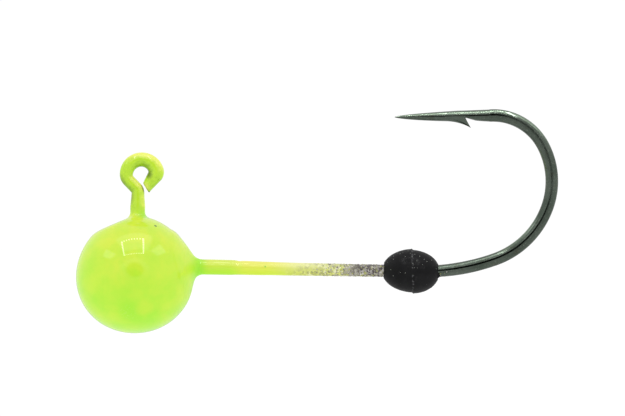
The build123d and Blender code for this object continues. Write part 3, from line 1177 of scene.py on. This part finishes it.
def bead_material():
    made, g = material("bead_black_rubber")
    place, x, _, z = g.millimetres()
    fine = g.noise(place, 16.0, 3.0, 0.65)
    shade = g.mix(g.cloud(place, 0.9), (19, 19, 20), (27, 27, 28))
    upper = g.span(z, SHANK_Z - 1.2, SHANK_Z + 1.2, -0.25, 0.25)
    off, pick = g.cells(place, 5.6)
    dust = g.math("LESS_THAN", off, g.span(g.plus(pick, upper), 0.40, 1.0, 0.0, 0.15))
    shade = g.tint(shade, dust, 0.9, (186, 190, 182))
    rub = g.span(g.noise(place, 2.2, 3.0, 0.6, 0.4), 0.58, 0.72)
    shade = g.tint(shade, rub, 0.30, (58, 57, 58))
    lean = g.times(g.minus(z, SHANK_Z), -PARTING_TILT)
    from_seam = g.math("ABSOLUTE", g.minus(g.plus(x, lean), PARTING_X))
    torn = g.span(g.noise(place, 4.0), 0.55, 0.66)
    scraped = g.times(g.span(from_seam, 0.03, 0.12, 1.0, 0.0), torn)
    shade = g.tint(shade, scraped, 0.34, (120, 120, 122))
    lumps = g.times(g.noise(place, 4.0), 0.006)
    normal = g.bump(g.plus(g.times(fine, 0.006), g.times(dust, 0.01), lumps))
    g.principled(
        Base_Color=shade,
        Roughness=g.span(fine, 0.3, 0.7, 0.42, 0.58),
        Specular_IOR_Level=0.10,
        Normal=normal,
        # A faint painted sheen: the lamps' reflection, given as glow
        Emission_Color=WHITE,
        Emission_Strength=g.times(painted_lamp_glints(g, normal), 0.005),
    )
    return made


def lead_material():
    made, g = material("lead_cast_dull")
    place = g.millimetres()[0]
    cloud = g.noise(place, 0.6, 3.0, 0.6)
    grain = g.noise(place, 5.0, 3.0, 0.6)
    shade = g.mix(g.span(cloud, 0.3, 0.7), (112, 116, 122), (152, 154, 158))
    normal = g.bump(g.plus(g.times(grain, 0.02), g.times(cloud, 0.02)))
    rough = g.span(grain, 0.3, 0.7, 0.48, 0.66)
    g.principled(Base_Color=shade, Metallic=0.85, Roughness=rough, Normal=normal)
    return made


# ------ stage, light and camera


def soft_panel(g, across, back, centre, half, degrees):
    """A faint bright patch of the tent's roof."""
    c, s = math.cos(math.radians(degrees)), math.sin(math.radians(degrees))
    share = 1.0
    for offset, reach in zip(turned(g, across, back, centre, c, s), half):
        share = g.times(g.span(g.math("ABSOLUTE", offset), reach, reach + PANEL_EDGE, 1.0, 0.0), share)
    return share


def build_world():
    """A white light tent: even white all round, with a dark opening for the camera."""
    world = bpy.data.worlds.new("light_tent")
    bpy.context.scene.world = world
    world.use_nodes = True
    g = Graph(world.node_tree)
    x, y, z = g.parts(g.node("TexCoord").outputs["Generated"])
    facing = g.times(y, -1.0)
    ahead = g.math("MAXIMUM", facing, 0.02)
    offsets = []
    for part, middle, half in zip((x, z), OPENING_MIDDLE, OPENING_HALF):
        offset = g.math("DIVIDE", g.minus(g.math("DIVIDE", part, ahead), middle), half)
        offsets.append(g.times(offset, offset))
    away = g.math("SQRT", g.plus(*offsets))

    low_front = g.times(g.span(facing, 0.45, 0.95), g.span(z, 0.10, -0.12, 0.0, 1.0))
    tent = g.times(
        g.span(z, -0.6, 0.8, 0.94, 1.02),
        g.span(low_front, 0.0, 1.0, 1.0, 0.86),
        g.span(away, 0.80, 1.08, 0.0, 1.0),
        g.span(y, 0.86, 0.98, 1.0, 0.80),
    )
    rim = g.times(g.band(away, 1.15, 1.35, 1.6, 1.9), g.span(z, 0.1, 0.3))

    across, back, over = ceiling_place(g, x, y, z)
    panels = [g.times(soft_panel(g, across, back, *panel), over, level) for *panel, level in PANELS]
    extra = g.plus(*panels, g.times(rim, 0.5))

    ray = g.node("LightPath").outputs
    level = g.plus(tent, g.times(extra, ray["Is Glossy Ray"]))
    seen = ray["Is Camera Ray"]
    level = g.plus(g.times(level, g.minus(1.0, seen)), g.times(seen, BACKDROP_LEVEL))
    background = g.node("Background", {"Color": WHITE, "Strength": level})
    g.node("OutputWorld", {"Surface": background.outputs[0]})


def build_floor():
    """A plain pale floor under the object, lit like the tent."""
    low = cad_low[2] - 0.020
    reach = 3.0
    corners = [(-reach, -reach, low), (reach, -reach, low), (reach, reach, low), (-reach, reach, low)]
    mesh = bpy.data.meshes.new("floor")
    mesh.from_pydata(corners, [], [(0, 1, 2, 3)])
    floor = link_piece("floor", mesh)
    made, g = material("pale_floor")
    g.principled(
        Base_Color=(0.84, 0.84, 0.84, 1.0),
        Roughness=0.9,
        Specular_IOR_Level=0.1,
        Emission_Color=WHITE,
        Emission_Strength=0.20,
    )
    mesh.materials.append(made)
    floor.visible_glossy = False


def build_camera():
    """Square on to the hook's plane from far away, rolled a little."""
    data = bpy.data.cameras.new("camera")
    data.sensor_width = 36.0
    data.lens = data.sensor_width * CAMERA_DISTANCE / PICTURE_WIDTH
    data.clip_start, data.clip_end = 0.01, 10.0
    camera = link_piece("camera", data)
    centre = (cad_low + cad_high) / 2
    aside, rise = (share * PICTURE_WIDTH for share in CAMERA_SHIFT)
    camera.location = (centre[0] + aside, -CAMERA_DISTANCE, centre[2] + rise)
    camera.rotation_euler = (math.pi / 2, -math.radians(CAMERA_ROLL), 0.0)
    bpy.context.scene.camera = camera


# ------ the object


def finish_piece(piece, made, body, stands_for=None):
    piece.data.materials.clear()
    piece.data.materials.append(made)
    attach(piece, body)
    if stands_for:
        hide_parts(stands_for)


build_world()
build_floor()
build_camera()
bpy.context.scene.view_settings.view_transform = "Standard"

finish_piece(build_hook(), hook_material(), "jig", "hook")
finish_piece(build_coat(), paint_material(), "jig", "paint_coat")
finish_piece(build_grains(), grain_material(), "jig")
finish_piece(build_bead(), bead_material(), "keeper", "keeper_bead")
finish_piece(build_lead(), lead_material(), "jig", "lead_head")
